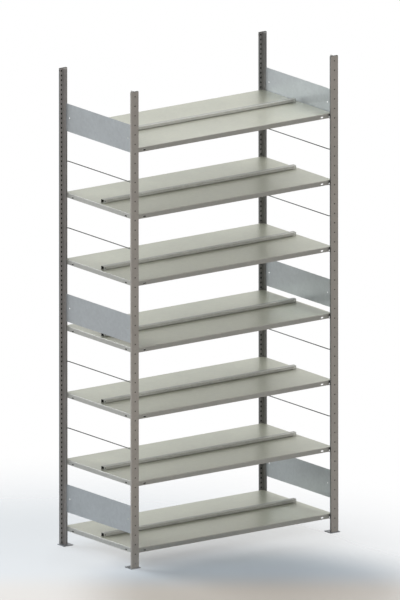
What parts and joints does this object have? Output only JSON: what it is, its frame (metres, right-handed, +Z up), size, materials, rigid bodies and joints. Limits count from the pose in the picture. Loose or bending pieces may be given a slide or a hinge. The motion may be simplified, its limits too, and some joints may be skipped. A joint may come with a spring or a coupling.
{
  "type": "office shelving unit",
  "caption": "Tall free-standing steel shelving unit with slotted T-profile posts, folded shelves, centre stop rails, side cross plates and side stop wires.",
  "frame": {"origin": "on the floor under the middle of the unit", "axes": "+X along the width towards the right post, +Y from the front to the back, +Z up"},
  "size_m": [1.3146, 0.642, 2.5],
  "materials": {
    "post_steel": "galvanised, satin",
    "foot_steel": "galvanised, satin",
    "shelf_steel": "galvanised, semi-gloss",
    "rail_steel": "galvanised, semi-gloss",
    "plate_steel": "galvanised, satin",
    "wire_steel": "zinc-plated, semi-gloss",
    "support_steel": "galvanised, satin"
  },
  "bodies": {
    "root": {"foot_front_left": "foot_steel", "post_front_left": "post_steel", "support_2_front_left": "support_steel", "support_3_front_left": "support_steel", "support_4_front_left": "support_steel", "support_5_front_left": "support_steel", "support_6_front_left": "support_steel", "support_7_front_left": "support_steel", "foot_front_right": "foot_steel", "post_front_right": "post_steel", "support_2_front_right": "support_steel", "support_3_front_right": "support_steel", "support_4_front_right": "support_steel", "support_5_front_right": "support_steel", "support_6_front_right": "support_steel", "support_7_front_right": "support_steel", "foot_back_left": "foot_steel", "post_back_left": "post_steel", "support_2_back_left": "support_steel", "support_3_back_left": "support_steel", "support_4_back_left": "support_steel", "support_5_back_left": "support_steel", "support_6_back_left": "support_steel", "support_7_back_left": "support_steel", "foot_back_right": "foot_steel", "post_back_right": "post_steel", "support_2_back_right": "support_steel", "support_3_back_right": "support_steel", "support_4_back_right": "support_steel", "support_5_back_right": "support_steel", "support_6_back_right": "support_steel", "support_7_back_right": "support_steel", "cross_plate_left_1": "plate_steel", "cross_plate_left_2": "plate_steel", "cross_plate_left_3": "plate_steel", "stop_wire_left_2": "wire_steel", "stop_wire_left_3": "wire_steel", "stop_wire_left_5": "wire_steel", "stop_wire_left_6": "wire_steel", "cross_plate_right_1": "plate_steel", "cross_plate_right_2": "plate_steel", "cross_plate_right_3": "plate_steel", "stop_wire_right_2": "wire_steel", "stop_wire_right_3": "wire_steel", "stop_wire_right_5": "wire_steel", "stop_wire_right_6": "wire_steel", "shelf_1": "shelf_steel", "stop_rail_1": "rail_steel", "shelf_2": "shelf_steel", "stop_rail_2": "rail_steel", "shelf_3": "shelf_steel", "stop_rail_3": "rail_steel", "shelf_4": "shelf_steel", "stop_rail_4": "rail_steel", "shelf_5": "shelf_steel", "stop_rail_5": "rail_steel", "shelf_6": "shelf_steel", "stop_rail_6": "rail_steel", "shelf_7": "shelf_steel", "stop_rail_7": "rail_steel"}
  },
  "joints": []
}
